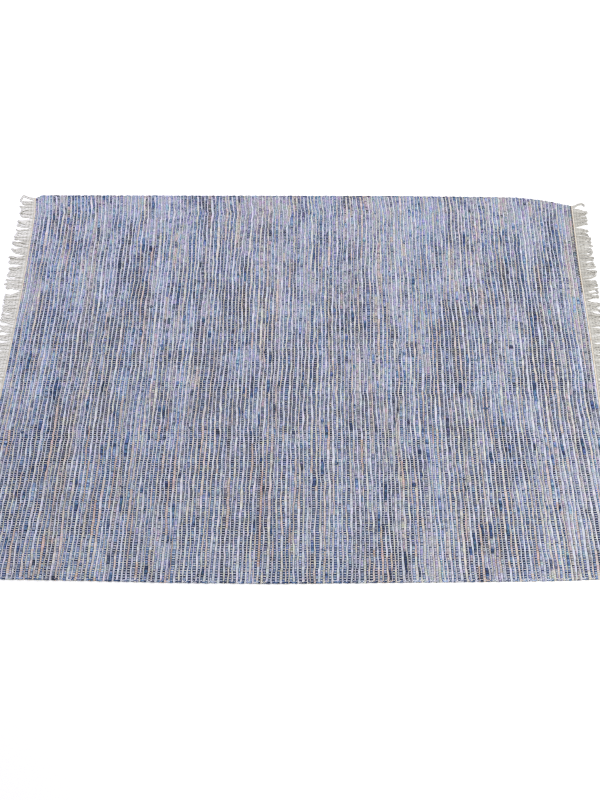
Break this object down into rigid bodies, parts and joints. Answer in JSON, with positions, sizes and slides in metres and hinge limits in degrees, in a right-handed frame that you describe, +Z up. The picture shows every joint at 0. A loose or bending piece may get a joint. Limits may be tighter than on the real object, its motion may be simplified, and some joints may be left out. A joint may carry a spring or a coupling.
{
  "type": "flat-woven rag rug",
  "caption": "Flat rectangular rag rug, ribbed across its length by rows of denim rag, with a cotton heading and a short twisted fringe at each narrow end.",
  "frame": {"origin": "middle of the footprint, fringe included, on the floor", "axes": "+X along the rug's length in the warp's direction, +Y across it towards the far selvedge, +Z up from the floor"},
  "size_m": [2.1206, 1.414, 0.0077],
  "materials": {
    "denim_rag": "matt woven denim rag and thin pale yarn, dry hand, no sheen",
    "cotton_yarn": "matt unbleached cotton yarn, twisted"
  },
  "bodies": {
    "root": {"woven_field": "denim_rag", "fringe_left": "cotton_yarn", "fringe_right": "cotton_yarn"}
  },
  "joints": []
}
